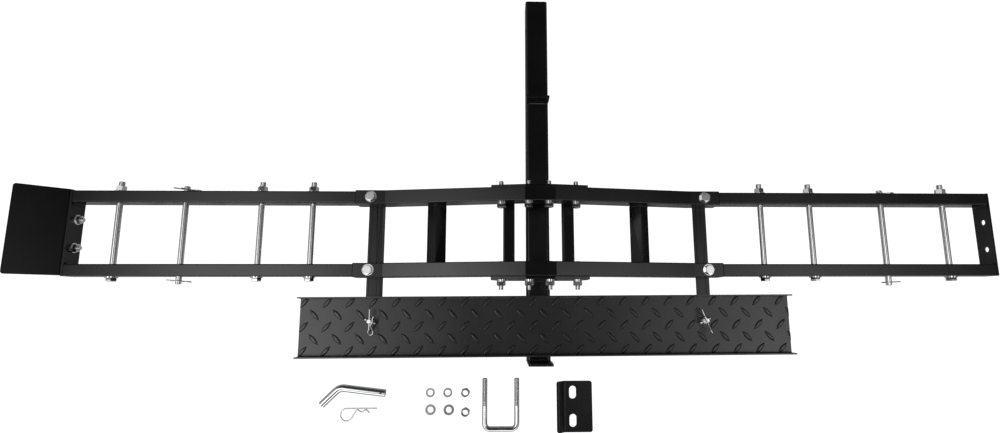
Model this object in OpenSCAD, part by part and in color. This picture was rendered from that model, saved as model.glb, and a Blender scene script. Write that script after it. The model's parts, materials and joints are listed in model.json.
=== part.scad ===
// Motorcycle hitch carrier: a wheel track on a receiver shank, with telescoped wing rails,
// a wheel stop, a loading ramp stowed behind the track and a loose fitting kit.
// Origin: centre of the hitch pin hole. +Y towards the vehicle, +Z up, +X to the right seen from behind.

/* [Shank] */
// outside width of the square shank
shank_w = 50.8; // [50:0.1:51]
// wall of the shank
shank_wall = 4.8; // [3:0.1:6]
// length of the shank
shank_len = 826; // [780:1:860]
// bore for the hitch pin
pin_bore_d = 16.5; // [16.2:0.1:17]
// height of the upright tail plate above the shank
tail_plate_h = 80; // [60:1:110]

/* [Track] */
// distance from the pin bore back to the middle of the track
track_back = 496; // [490:1:505]
// length of the centre rails
centre_len = 782; // [770:1:800]
// rise of the middle of the centre rails
centre_rise = 45; // [35:1:50]
// clear gap between the wing rails
track_gap = 130; // [124:1:136]
// distance from the middle to the outer end of a wing
wing_end = 984.5; // [960:0.5:1000]
// height of a wing rail
wing_h = 38.1; // [37:0.1:39]
// width of a wing rail
wing_w = 25.4; // [25:0.1:26]

/* [Ramp] */
// length of the ramp
ramp_len = 1050; // [1000:1:1080]
// width of the ramp
ramp_w = 126; // [120:1:130]
// height of the ramp flanges
ramp_h = 25; // [20:1:30]

/* [Wheel stop] */
// width of the wheel stop plate
stop_w = 181.5; // [170:0.5:190]
// reach of the slanted part of the wheel stop
stop_reach = 87; // [70:1:95]

/* [Hidden] */
$fn = 64;
eps = 0.5;
small_gap = 0.1;
collar = 0.05;

shank_top = shank_w / 2;
shank_front = 63.5;
shank_rear = shank_front - shank_len;
floor_z = -shank_w / 2;

// rails
rail_wall = 1.8;
rail_clear = 0.3;
wing_wall = 1.6;
rail_w = wing_w + 2 * rail_wall + 2 * rail_clear;
rail_h = wing_h + 2 * rail_wall + 2 * rail_clear;
arm_top = shank_top + 0.6;
rail_low_z = arm_top + rail_h / 2;
rail_high_z = rail_low_z + centre_rise;
rail_y = track_gap / 2 + wing_w / 2;
rail_flat = 30;
rail_bend_x = 326.5;
rail_slope = atan(centre_rise / (rail_bend_x - rail_flat));
wing_start = 332;
left_wing_in = 2.6;
joint_x = 358;
plate_t = 6.5;
end_plate_t = 4;
end_plate_h = 40;
end_plate_low = 27;

// wing cross pieces
rung_x = [488.8, 598.4, 898];
wheel_pin_x = 759;
wheel_pin_r = 5.95;
wheel_pin_half = 104.8;
wheel_clip_y = 98;
wheel_pin_shift = [-1.5, -5.2];

// centre frame
gusset_half = 102;
gusset_top = rail_high_z + 12;
gusset_foot = 80;
gusset_side_z = 58;
gusset_bolt_x = [21.5, 79];
gusset_bolt_shift = -1.6;
short_bar_x = 64.3;
short_bar_w = 25;
mid_cross_x = 220.4;
mid_cross_leg = 29;
mid_cross_foot = 41.5;

// arms and ramp
arm_x = [-356.3, 360];
arm_w = 29.5;
arm_t = 3;
arm_front = 88;
arm_rear = -235;
stud_x = 356.5;
stud_y = -184;
stud_r = 5;
ramp_left = -507;
ramp_front = -131;
ramp_turn = 0.25;
deck_t = 3;
deck_low = arm_top + 0.02;
deck_top = deck_low + deck_t;
stud_top = 51;
stud_foot = 13;
ramp_clip_z = 46.5;
tread_pitch = 48.7;
tread_row = 25.4;
tread_len = 27;
tread_w = 7.5;
tread_h = 0.5;

// metric hardware: shank radius, across flats, head height, nut height, washer radius, washer thickness
m12_r = 6;
m12_af = 18;
m12_head = 7.5;
m12_nut = 10;
m12_washer = 12;
m12_washer_t = 2.5;
m10_r = 5;
m10_af = 16;
m10_head = 7;
m10_nut = 8;
m10_washer = 10;
m10_washer_t = 2;
spring_t = 2.5;

// small clips
clip_r = 1.4;

// ---------- profiles and sweeps ----------

// rectangle with round corners, centred
module round_rect(w, h, r) {
    square([w - 2 * r, h], center = true);
    square([w, h - 2 * r], center = true);
    for (sx = [-1, 1], sy = [-1, 1])
        translate([sx * (w / 2 - r), sy * (h / 2 - r)]) circle(r);
}

// hollow rectangular tube section
module tube_section(w, h, wall, r) {
    difference() {
        round_rect(w, h, r);
        round_rect(w - 2 * wall, h - 2 * wall, max(r - wall, 0.4));
    }
}

// extrudes a section along +X: section x becomes Y, section y becomes Z
module along_x(length) {
    rotate([90, 0, 90]) linear_extrude(length) children();
}

// bends a round bar along straights and arcs in the XY plane, starting along +X;
// each move is [length, 0] for a straight or [radius, turn angle], left turns positive.
// A hair-thin collar at each joint makes the stretches one solid.
module bent_bar(moves, r, i = 0) {
    if (i < len(moves)) {
        size = moves[i][0];
        turn = moves[i][1];
        side = turn < 0 ? -1 : 1;
        if (i > 0) translate([-collar, 0, 0]) along_x(2 * collar) circle(r + collar / 5);
        if (turn == 0) {
            along_x(size) circle(r);
            translate([size, 0, 0]) bent_bar(moves, r, i + 1);
        } else {
            translate([0, side * size, 0]) {
                rotate([0, 0, turn > 0 ? -90 : 90 + turn])
                    rotate_extrude(angle = abs(turn)) translate([size, 0]) circle(r);
                rotate([0, 0, turn]) translate([0, -side * size, 0]) bent_bar(moves, r, i + 1);
            }
        }
    }
}

module at_track() {
    translate([0, -track_back, 0]) children();
}

// the left wing is pushed a little further into the centre rails than the right one
function wing_in(side) = side < 0 ? left_wing_in : 0;

module at_wing(side) {
    translate([wing_in(side), -track_back, 0]) children();
}

// ---------- hardware ----------

// hexagonal prism along +Z with turned corners on the free end
module hex_body(af, h) {
    intersection() {
        linear_extrude(h) circle(af / 2 / cos(30), $fn = 6);
        union() {
            cylinder(h = h - af * 0.07, r = af);
            translate([0, 0, h - af * 0.07]) cylinder(h = af * 0.07, r1 = af / 2 / cos(30), r2 = af * 0.47);
        }
    }
}

// bolt along +Z: head below z = 0, shank above
module hex_bolt(r, af, head, length) {
    rotate([180, 0, 0]) hex_body(af, head);
    cylinder(h = length - r * 0.2, r = r);
    translate([0, 0, length - r * 0.2]) cylinder(h = r * 0.2, r1 = r, r2 = r * 0.8);
}

// threaded rod along +Z with both ends chamfered
module stud_rod(r, length) {
    chamfer = r * 0.25;
    cylinder(h = chamfer, r1 = r - chamfer, r2 = r);
    translate([0, 0, chamfer]) cylinder(h = length - 2 * chamfer, r = r);
    translate([0, 0, length - chamfer]) cylinder(h = chamfer, r1 = r, r2 = r - chamfer);
}

// nut along +Z from z = 0
module hex_nut(r, af, h) {
    difference() {
        hex_body(af, h);
        translate([0, 0, -eps]) cylinder(h = h + 2 * eps, r = r + small_gap);
    }
}

// flat washer along +Z from z = 0
module washer(r, outer, t) {
    difference() {
        cylinder(h = t, r = outer);
        translate([0, 0, -eps]) cylinder(h = t + 2 * eps, r = r + small_gap * 2);
    }
}

// spring washer: a ring with a slanted split
module spring_washer(r, outer, t) {
    difference() {
        washer(r, outer, t);
        translate([outer / 2, 0, t / 2]) rotate([35, 0, 0]) cube([outer * 2, 1, t * 3], center = true);
    }
}

// points a part made along +Z towards +Y or -Y
module face_y(dir) {
    rotate([dir > 0 ? -90 : 90, 0, 0]) children();
}

// spring clip in the XY plane: straight leg along X through the origin, loop on the +X side,
// second leg on the -Y side, bent round a pin of radius hub
module spring_clip(r, hub, tip, loop_r, beta, delta, neck_s, gamma, dip, bend, flare, flare_turn = 25) {
    c_x = (hub + bend) * sin(gamma);
    c_y = -(hub + bend) * cos(gamma);
    loop_y = bend * (1 - cos(delta)) + neck_s * sin(delta) - loop_r * cos(delta);
    back = (c_y + (bend + loop_r) * cos(beta) - loop_y) / sin(beta);
    leg = c_x + (bend + loop_r) * (sin(beta) - sin(delta)) + back * cos(beta) - neck_s * cos(delta);
    first = delta == 0 ? [[tip + leg, 0]] : [[tip + leg, 0], [bend, delta], [neck_s, 0]];
    hump = [[loop_r, -(180 + delta + beta)], [back, 0], [bend, beta + gamma], [hub, -(gamma + dip)]];
    last = [[flare * 0.6, 0], [bend, dip + flare_turn], [flare, 0]];
    moves = concat(first, hump, last);
    translate([-tip, 0, 0]) {
        sphere(r);
        bent_bar(moves, r);
    }
}

// the clip used on the wheel pins and the ramp studs; free to be drawn out along its straight leg
module small_clip(hub) {
    spring_clip(clip_r, hub, 24.5, 6, 32, 28, 1.5, 52, 0, 3, 6);
}

// ---------- shank ----------

module hitch_tube() {
    color([0.08, 0.08, 0.085]) difference() {
        translate([0, shank_front, 0]) rotate([90, 0, 0]) linear_extrude(shank_len)
            tube_section(shank_w, shank_w, shank_wall, 6);
        rotate([0, 90, 0]) cylinder(h = shank_w * 2, r = pin_bore_d / 2, center = true);
    }
}

module receiver_stop() {
    stop_y = 309.5;
    color([0.08, 0.08, 0.085]) at_track() translate([0.5, stop_y, shank_top]) {
        translate([0, 0, 17.3]) cube([51, 5, 34.6], center = true);
        for (dir = [-1, 1])
            translate([-shank_w / 2 + 6, 0, 0]) along_x(shank_w - 13)
                polygon([[0, 0], [dir * 6, 0], [0, 4]]);
    }
}

module tail_plate() {
    t = 5;
    h = shank_w + tail_plate_h;
    color([0.08, 0.08, 0.085]) translate([-0.4, shank_rear, floor_z + h / 2])
        rotate([90, 0, 0]) linear_extrude(t) round_rect(50, h, 4);
}

// ---------- centre frame ----------

module gusset_outline() {
    side_top = gusset_top - (gusset_half - rail_flat) * tan(rail_slope);
    polygon([
        [-gusset_foot, shank_top], [gusset_foot, shank_top],
        [gusset_half, gusset_side_z], [gusset_half, side_top],
        [rail_flat, gusset_top], [-rail_flat, gusset_top],
        [-gusset_half, side_top], [-gusset_half, gusset_side_z]
    ]);
}

function rail_mid(x) = rail_high_z - max(abs(x) - rail_flat, 0) * tan(rail_slope);

module at_gusset_bolts() {
    for (sx = [-1, 1], spot = gusset_bolt_x) {
        x = sx * spot + gusset_bolt_shift;
        translate([x, 0, rail_mid(x)]) children();
    }
}

module gusset(hole_r) {
    difference() {
        rotate([90, 0, 0]) linear_extrude(plate_t) gusset_outline();
        at_gusset_bolts() rotate([90, 0, 0]) translate([0, 0, -eps])
            cylinder(h = plate_t + 2 * eps, r = hole_r);
    }
}

gusset_in = rail_y + rail_w / 2;
gusset_out = gusset_in + plate_t;

// the front plate is tapped, the rear plate has clearance holes
module front_gusset() {
    color([0.09, 0.09, 0.095]) at_track() translate([0, gusset_out, 0]) gusset(m10_r + small_gap);
}

module rear_gusset() {
    color([0.09, 0.09, 0.095]) at_track() translate([0, -gusset_in, 0]) gusset(m10_r + 0.5);
}

module short_bar(side) {
    color([0.09, 0.09, 0.095]) at_track()
        translate([side * short_bar_x, gusset_in, shank_top + short_bar_w / 2])
        rotate([90, 0, 0]) linear_extrude(2 * gusset_in) tube_section(short_bar_w, short_bar_w, 2, 3);
}

module left_short_bar() short_bar(-1);

module right_short_bar() short_bar(1);

// upper (side 1) or lower (side -1) edge of the bent rail at half depth h, left to right
function rail_edge(h, side, end) = let (cut = side * h * tan(rail_slope / 2)) [
    [-end, rail_low_z + side * h], [-rail_bend_x - cut, rail_low_z + side * h],
    [-rail_flat - cut, rail_high_z + side * h], [rail_flat + cut, rail_high_z + side * h],
    [rail_bend_x + cut, rail_low_z + side * h], [end, rail_low_z + side * h]
];

// solid bent bar of depth 2h and width w, centred on Y = 0
module rail_solid(h, w, end) {
    low = rail_edge(h, -1, end);
    translate([0, w / 2, 0]) rotate([90, 0, 0]) linear_extrude(w)
        polygon(concat(rail_edge(h, 1, end), [for (i = [len(low) - 1 : -1 : 0]) low[i]]));
}

module centre_rail(y) {
    color([0.12, 0.12, 0.125]) at_track() translate([0, y, 0]) difference() {
        rail_solid(rail_h / 2, rail_w, centre_len / 2);
        rail_solid(rail_h / 2 - rail_wall, rail_w - 2 * rail_wall, centre_len / 2 + eps);
        for (sx = [-1, 1])
            translate([sx * joint_x, 0, rail_low_z]) cylinder(h = rail_h * 2, r = m12_r + 0.5, center = true);
        at_gusset_bolts() rotate([90, 0, 0]) cylinder(h = rail_w * 2, r = m10_r + 0.5, center = true);
    }
}

module front_centre_rail() centre_rail(rail_y);

module rear_centre_rail() centre_rail(-rail_y);

// inverted V of angle steel between the centre rails
module mid_cross(side) {
    length = 2 * (rail_y - rail_w / 2);
    color([0.07, 0.07, 0.075]) at_track()
        translate([side * mid_cross_x, length / 2, mid_cross_foot + mid_cross_leg * cos(45)])
        rotate([90, 0, 0]) linear_extrude(length) rotate([0, 0, -135]) difference() {
            square(mid_cross_leg);
            translate([arm_t, arm_t]) square(mid_cross_leg);
        }
}

module left_mid_cross() mid_cross(-1);

module right_mid_cross() mid_cross(1);

// ---------- ramp arms ----------

module arm_outline() {
    translate([-arm_w / 2, arm_top - arm_t]) square([arm_w, arm_t]);
    translate([arm_w / 2 - arm_t, arm_top - arm_w]) square([arm_t, arm_w]);
}

module ramp_arm(side) {
    x = side < 0 ? arm_x[0] : arm_x[1];
    color([0.1, 0.1, 0.105]) at_track() difference() {
        translate([x, arm_front, 0]) rotate([90, 0, 0]) linear_extrude(arm_front - arm_rear)
            arm_outline();
        for (y = [-rail_y, rail_y])
            translate([side * joint_x, y, 0]) cylinder(h = 100, r = m12_r + 0.5, center = true);
        translate([side * stud_x, stud_y, 0]) cylinder(h = 100, r = stud_r + 0.5, center = true);
    }
}

module left_ramp_arm() ramp_arm(-1);

module right_ramp_arm() ramp_arm(1);

// ---------- wings ----------

module wing_rail(side, y) {
    color([0.13, 0.13, 0.135]) at_wing(side) difference() {
        translate([side > 0 ? wing_start : -wing_end, y, rail_low_z]) along_x(wing_end - wing_start)
            tube_section(wing_w, wing_h, wing_wall, 2.6);
        translate([side * joint_x - wing_in(side), y, rail_low_z])
            cylinder(h = wing_h * 2, r = m12_r + 0.5, center = true);
        for (x = rung_x)
            translate([side * x, y, rail_low_z]) rotate([90, 0, 0])
                cylinder(h = wing_w * 2, r = m12_r + 0.25, center = true);
        translate([side * wheel_pin_x, y, rail_low_z]) rotate([90, 0, 0])
            cylinder(h = wing_w * 2, r = wheel_pin_r + small_gap, center = true);
    }
}

module left_front_wing_rail() wing_rail(-1, rail_y);

module left_rear_wing_rail() wing_rail(-1, -rail_y);

module right_front_wing_rail() wing_rail(1, rail_y);

module right_rear_wing_rail() wing_rail(1, -rail_y);

end_hole_y = 30;
end_hole_shift = -2;
stop_hole_z = 45.5;
open_hole_z = 48.5;
end_hole_r = 6;

module end_plate(side) {
    w = track_gap + 2 * wing_w;
    color([0.11, 0.11, 0.115]) at_wing(side) difference() {
        translate([side > 0 ? wing_end : -wing_end - end_plate_t, 0, end_plate_low + end_plate_h / 2])
            along_x(end_plate_t) round_rect(w, end_plate_h, 2);
        shift = side > 0 ? end_hole_shift : 0;
        for (y = [-end_hole_y, end_hole_y])
            translate([side * wing_end, y + shift, side > 0 ? open_hole_z : stop_hole_z]) rotate([0, 90, 0])
                cylinder(h = 20, r = end_hole_r, center = true);
    }
}

module left_end_plate() end_plate(-1);

module right_end_plate() end_plate(1);

// ---------- wheel stop ----------

stop_t = 3;
stop_face = -wing_end - end_plate_t;
stop_bend_z = 60;
stop_low = 30;
stop_lean = 50;
stop_bend_r = 6;
stop_bend_steps = 10;
stop_shift_y = 2;

// points of the stop's bend at one radius, from the upright flange to the slanted plate
function stop_bend(r) = [
    for (i = [0 : stop_bend_steps])
        let (turn = stop_lean * i / stop_bend_steps)
        [r * cos(turn) - stop_bend_r, r * sin(turn) + stop_bend_z - stop_low]
];

// section of the stop: upright flange, bend, slanted plate; swept along Y
module stop_outline() {
    outside = stop_bend(stop_bend_r + stop_t);
    inside = stop_bend(stop_bend_r);
    slant = [-stop_reach * sin(stop_lean), stop_reach * cos(stop_lean)];
    polygon(concat(
        [[0, 0], [stop_t, 0]],
        outside,
        [outside[stop_bend_steps] + slant, inside[stop_bend_steps] + slant],
        [for (i = [stop_bend_steps : -1 : 0]) inside[i]]
    ));
}

// what is cut away to round one corner of the stop's free edge
module stop_corner() {
    corner = 6;
    crossing = 0.15;
    free_edge = stop_reach + stop_bend_r * sin(stop_lean);
    translate([-30, stop_w / 2 - corner + crossing, free_edge - corner + crossing])
        rotate([90, 0, 90]) linear_extrude(60) difference() {
            square(2 * corner);
            circle(corner);
        }
}

module wheel_stop_plate() {
    color([0.07, 0.07, 0.075]) at_wing(-1) difference() {
        translate([stop_face - stop_t, stop_shift_y + stop_w / 2, stop_low])
            rotate([90, 0, 0]) linear_extrude(stop_w) stop_outline();
        translate([stop_face - stop_t, stop_shift_y, stop_bend_z]) rotate([0, -stop_lean, 0])
            for (flip = [0, 1]) mirror([0, flip, 0]) stop_corner();
        for (y = [-end_hole_y, end_hole_y])
            translate([stop_face, y, stop_hole_z]) rotate([0, 90, 0])
                cylinder(h = 20, r = end_hole_r, center = true);
    }
}

module at_stop_bolts() {
    at_wing(-1) for (y = [-end_hole_y, end_hole_y])
        translate([stop_face - stop_t, y, stop_hole_z]) rotate([0, 90, 0]) children();
}

stop_inner = stop_t + end_plate_t;

module wheel_stop_bolts() {
    color([0.75, 0.75, 0.77]) at_stop_bolts() hex_bolt(m10_r, m10_af, m10_head, 21.5);
}

module wheel_stop_nuts() {
    color([0.7, 0.7, 0.72]) at_stop_bolts() translate([0, 0, stop_inner + m10_washer_t])
        rotate([0, 0, 12]) hex_nut(m10_r, m10_af, m10_nut);
}

module wheel_stop_washers() {
    color([0.75, 0.75, 0.77]) at_stop_bolts() translate([0, 0, stop_inner])
        washer(m10_r, m10_washer + 0.7, m10_washer_t);
}

// ---------- gusset hardware ----------

rail_face = rail_y - rail_w / 2;

module at_front_gusset() {
    at_track() translate([0, rail_face, 0]) at_gusset_bolts() face_y(1) children();
}

module at_rear_gusset() {
    at_track() translate([0, -rail_face, 0]) at_gusset_bolts() face_y(-1) children();
}

gusset_stack = rail_w + plate_t;
washer_pair = m10_washer_t + spring_t;
front_stub = 9.2;
rear_stub = 21;
round_head = 2;
round_head_r = 9.5;

// front: hexagon heads inside the rail, screwed into the plate; rear: low round heads, nuts outside
module gusset_bolts() {
    color([0.75, 0.75, 0.77]) {
        at_front_gusset() translate([0, 0, -washer_pair])
            hex_bolt(m10_r, m10_af, m10_head, gusset_stack + washer_pair + front_stub);
        at_rear_gusset() {
            stud_rod(m10_r, gusset_stack + rear_stub);
            translate([0, 0, -round_head])
                cylinder(h = round_head, r1 = round_head_r * 0.6, r2 = round_head_r);
            translate([0, 0, -eps]) cylinder(h = 2 * eps, r = m10_r);
        }
    }
}

module gusset_nuts() {
    color([0.7, 0.7, 0.72]) at_rear_gusset() translate([0, 0, gusset_stack + washer_pair])
        hex_nut(m10_r, m10_af, m10_nut);
}

module gusset_washers() {
    color([0.75, 0.75, 0.77]) {
        at_front_gusset() translate([0, 0, -m10_washer_t]) washer(m10_r, m10_washer, m10_washer_t);
        at_rear_gusset() translate([0, 0, gusset_stack]) washer(m10_r, m10_washer, m10_washer_t);
    }
}

module gusset_spring_washers() {
    color([0.6, 0.6, 0.62]) {
        at_front_gusset() translate([0, 0, -washer_pair]) spring_washer(m10_r, 8.8, spring_t);
        at_rear_gusset() translate([0, 0, gusset_stack + m10_washer_t]) spring_washer(m10_r, 8.8, spring_t);
    }
}

// ---------- wing joint hardware ----------

module at_wing_joints() {
    at_track() for (sx = [-1, 1], sy = [-1, 1])
        translate([sx * joint_x, sy * rail_y, rail_low_z + rail_h / 2]) children();
}

joint_stack = rail_h + arm_t;

module wing_joint_bolts() {
    color([0.8, 0.8, 0.82]) at_wing_joints() translate([0, 0, m12_washer_t]) rotate([180, 0, 30])
        hex_bolt(m12_r, m12_af, m12_head, joint_stack + m12_washer_t + m12_nut + 5);
}

module wing_joint_nuts() {
    color([0.7, 0.7, 0.72]) at_wing_joints() translate([0, 0, -joint_stack]) rotate([180, 0, 30])
        hex_nut(m12_r, m12_af, m12_nut);
}

module wing_joint_washers() {
    color([0.8, 0.8, 0.82]) at_wing_joints() washer(m12_r, m12_washer, m12_washer_t);
}

// ---------- rungs ----------

rung_face = rail_y + wing_w / 2;

module at_rungs(side) {
    at_wing(side) for (x = rung_x)
        translate([side * x, -rung_face, rail_low_z]) face_y(1) children();
}

module rungs(side) {
    color([0.75, 0.75, 0.77]) at_rungs(side) translate([0, 0, -m12_washer_t])
        hex_bolt(m12_r, m12_af, m12_head, 2 * rung_face + 2 * m12_washer_t + m12_nut + 10);
}

module left_rungs() rungs(-1);

module right_rungs() rungs(1);

module rung_nuts() {
    color([0.7, 0.7, 0.72]) for (side = [-1, 1])
        at_rungs(side) translate([0, 0, 2 * rung_face + m12_washer_t]) rotate([0, 0, 9])
            hex_nut(m12_r, m12_af, m12_nut);
}

module rung_washers() {
    color([0.75, 0.75, 0.77]) for (side = [-1, 1], z = [-m12_washer_t, 2 * rung_face])
        at_rungs(side) translate([0, 0, z]) washer(m12_r, m12_washer, m12_washer_t);
}

// ---------- removable wheel pins ----------

// the pins rest a little towards the rear, the right one against its front clip
module at_wheel_pin(side) {
    at_wing(side) translate([side * wheel_pin_x, wheel_pin_shift[side < 0 ? 0 : 1], rail_low_z]) children();
}

// turn of a clip about the pin and lean off square, for each end
function clip_roll(side, end) = side == end ? 0 : (side < 0 ? 25 : 24);
function clip_lean(side, end) = side < 0 ? (end > 0 ? -4 : -4.5) : (end > 0 ? 0 : 3);

module at_wheel_clip(side, end) {
    translate([0, end * wheel_clip_y, 0]) rotate([0, clip_roll(side, end), clip_lean(side, end)]) children();
}

module wheel_pin(side) {
    color([0.75, 0.75, 0.77]) at_wheel_pin(side) difference() {
        union() {
            rotate([90, 0, 0]) cylinder(h = 2 * wheel_pin_half - 2, r = wheel_pin_r, center = true);
            for (dir = [-1, 1])
                translate([0, dir * (wheel_pin_half - 1), 0]) face_y(dir)
                    cylinder(h = 1, r1 = wheel_pin_r, r2 = wheel_pin_r - 1);
        }
        for (dir = [-1, 1])
            at_wheel_clip(side, dir) rotate([0, 90, 0])
                cylinder(h = 40, r = clip_r + small_gap, center = true);
    }
}

module left_wheel_pin() wheel_pin(-1);

module right_wheel_pin() wheel_pin(1);

module pin_clip(side, end) {
    color([0.75, 0.75, 0.77]) at_wheel_pin(side) at_wheel_clip(side, end)
        rotate([-90, 0, 0]) small_clip(wheel_pin_r + clip_r + 0.25);
}

module left_front_pin_clip() pin_clip(-1, 1);

module left_rear_pin_clip() pin_clip(-1, -1);

module right_front_pin_clip() pin_clip(1, 1);

module right_rear_pin_clip() pin_clip(1, -1);

// ---------- ramp ----------

// lens-shaped tread pad lying along X
module tread_pad() {
    r = (tread_len * tread_len / 4 + tread_w * tread_w / 4) / tread_w;
    linear_extrude(tread_h + eps) intersection() {
        translate([0, r - tread_w / 2]) circle(r, $fn = 128);
        translate([0, tread_w / 2 - r]) circle(r, $fn = 128);
    }
}

module treads() {
    rows = 5;
    per_row = ceil(ramp_len / tread_pitch) + 1;
    for (row = [0 : rows - 1], i = [0 : per_row - 1]) {
        lean = row % 2 == 0 ? 48 : -48;
        shift = row % 2 == 0 ? 0 : tread_pitch * 0.46;
        x = ramp_left + 8 + shift + i * tread_pitch;
        y = ramp_front - 12 - row * tread_row;
        translate([x, y, deck_top - eps]) rotate([0, 0, lean]) tread_pad();
    }
}

module ramp_section() {
    bend = 4.5;
    difference() {
        translate([0, ramp_h]) round_rect(ramp_w, 2 * ramp_h, bend);
        translate([0, ramp_h + deck_t]) round_rect(ramp_w - 2 * deck_t, 2 * ramp_h, bend - deck_t);
        translate([-ramp_w, ramp_h]) square([2 * ramp_w, 2 * ramp_h]);
    }
}

// the ramp lies slightly askew on its arms
module turn_ramp() {
    middle = [ramp_left + ramp_len / 2, ramp_front - ramp_w / 2, 0];
    translate(middle) rotate([0, 0, ramp_turn]) translate(-middle) children();
}

module ramp_deck() {
    color([0.16, 0.16, 0.165]) at_track() difference() {
        turn_ramp() {
            translate([ramp_left, ramp_front - ramp_w / 2, deck_low]) along_x(ramp_len) ramp_section();
            intersection() {
                treads();
                translate([ramp_left, ramp_front - ramp_w + deck_t + 1, 0])
                    cube([ramp_len, ramp_w - 2 * deck_t - 2, 100]);
            }
        }
        for (sx = [-1, 1])
            translate([sx * stud_x, stud_y, 0]) cylinder(h = 100, r = stud_r + 0.3, center = true);
        for (sx = [-1, 1])
            translate([sx * stud_x, stud_y, deck_top]) cylinder(h = 20, r = 10);
    }
}

clip_turn_left = 0;
clip_turn_right = 21;

module ramp_studs() {
    color([0.75, 0.75, 0.77]) at_track() for (i = [0, 1])
        translate([i == 0 ? -stud_x : stud_x, stud_y, 0]) difference() {
            translate([0, 0, stud_foot]) stud_rod(stud_r, stud_top - stud_foot);
            translate([0, 0, ramp_clip_z]) rotate([90, 0, i == 0 ? clip_turn_left : clip_turn_right])
                cylinder(h = 30, r = clip_r + small_gap, center = true);
        }
}

module arm_weld_nuts() {
    color([0.1, 0.1, 0.105]) at_track() for (sx = [-1, 1])
        translate([sx * stud_x, stud_y, arm_top - arm_t]) rotate([180, 0, 30])
            hex_nut(stud_r, m10_af, m10_nut);
}

// one wing of a wing nut, standing in the XZ plane
module nut_wing() {
    wing_t = 3;
    translate([0, wing_t / 2, 0]) rotate([90, 0, 0]) linear_extrude(wing_t) {
        polygon([[5.6, 0.5], [7.5, 0.5], [13, 6], [8, 13.5], [5.6, 8]]);
        translate([9.4, 9.6]) circle(4.1);
    }
}

module wing_nut(side, turn) {
    color([0.82, 0.82, 0.84]) at_track() translate([side * stud_x, stud_y, deck_top]) rotate([0, 0, turn])
        difference() {
            union() {
                cylinder(h = 8.5, r1 = 8, r2 = 6.8);
                nut_wing();
                rotate([0, 0, 180]) nut_wing();
            }
            translate([0, 0, -eps]) cylinder(h = 20, r = stud_r + 0.08);
        }
}

module left_wing_nut() wing_nut(-1, -22);

module right_wing_nut() wing_nut(1, 25);

// clip through a ramp stud: loop to the rear, second leg rolled about the straight leg
module ramp_clip(side, turn, roll) {
    color([0.8, 0.8, 0.82]) at_track() translate([side * stud_x, stud_y, ramp_clip_z])
        rotate([0, 0, turn - 90]) rotate([roll, 0, 0]) small_clip(stud_r + clip_r + 1.1);
}

module left_ramp_clip() ramp_clip(-1, clip_turn_left, -160);

module right_ramp_clip() ramp_clip(1, clip_turn_right, -75);

// ---------- loose fitting kit, lying on the ground ----------

hitch_pin_r = 7.95;
kit_clip_r = 1.45;

module hitch_pin() {
    grip = 40.5;
    shaft = 89;
    bend_r = 22;
    turn = -51;
    moves = [[grip, 0], [bend_r, turn], [shaft, 0]];
    color([0.8, 0.8, 0.82]) at_track()
        translate([-466.2, -361.4, floor_z + hitch_pin_r]) rotate([0, 0, 44]) difference() {
            bent_bar(moves, hitch_pin_r);
            translate([grip, -bend_r, 0]) rotate([0, 0, turn]) translate([shaft - 9, bend_r, 0])
                cylinder(h = 40, r = 2.2, center = true);
        }
}

module hitch_pin_clip() {
    color([0.75, 0.75, 0.77]) at_track() translate([-382.2, -370.5, floor_z + kit_clip_r])
        mirror([1, 0, 0]) spring_clip(kit_clip_r, 7, 32, 13, 60, 0, 0, 50, 32, 4, 7, 45);
}

u_bolt_r = 5.9;
u_bolt_left = -115.9;
u_bolt_right = -46.4;
u_bolt_tip = -308;
u_bolt_base = -414.4;

module u_bolt() {
    corner = 12;
    leg = u_bolt_tip - u_bolt_base - corner;
    base = u_bolt_right - u_bolt_left - 2 * corner;
    moves = [[leg, 0], [corner, 90], [base, 0], [corner, 90], [leg, 0]];
    color([0.72, 0.72, 0.74]) at_track()
        translate([u_bolt_left, u_bolt_tip, floor_z + u_bolt_r]) rotate([0, 0, -90])
            bent_bar(moves, u_bolt_r);
}

u_plate_x = 40;
u_plate_w = 78.5;
u_plate_y = -422.5;
u_plate_d = 107.5;
u_plate_t = 5;

// section of the anti-rattle plate: raised lip, smooth double bend, flat
module u_plate_section() {
    lip = 4;
    slope = 16;
    rise = 11;
    steps = 16;
    bend = [for (i = [0 : steps]) [lip + slope * i / steps, rise * (1 + cos(180 * i / steps)) / 2]];
    low = concat([[0, rise]], bend, [[u_plate_w, 0]]);
    high = [for (i = [len(low) - 1 : -1 : 0]) low[i] + [0, u_plate_t]];
    polygon(concat(low, high));
}

module anti_rattle_plate() {
    corner = 5;
    slot_x = 36;
    slot_r_u = 7.7;
    slot_len = 27.6;
    slot_pitch = 59.3;
    color([0.09, 0.09, 0.095]) at_track() translate([u_plate_x, u_plate_y, floor_z]) difference() {
        intersection() {
            translate([0, u_plate_d, 0]) rotate([90, 0, 0]) linear_extrude(u_plate_d) u_plate_section();
            translate([u_plate_w / 2, u_plate_d / 2, 0]) linear_extrude(30)
                round_rect(u_plate_w, u_plate_d, corner);
        }
        for (dir = [-1, 1])
            translate([slot_x, u_plate_d / 2 + dir * slot_pitch / 2, -eps]) linear_extrude(30) {
                square([2 * slot_r_u, slot_len - 2 * slot_r_u], center = true);
                for (end = [-1, 1])
                    translate([0, end * (slot_len / 2 - slot_r_u)]) circle(slot_r_u);
            }
    }
}

module u_bolt_nuts() {
    spots = [[-158.3, -338.8, 10], [-157.8, -379.5, 26]];
    color([0.7, 0.7, 0.72]) at_track() for (p = spots)
        translate([p[0], p[1], floor_z]) rotate([0, 0, p[2]]) hex_nut(m12_r, m12_af, m12_nut);
}

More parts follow.
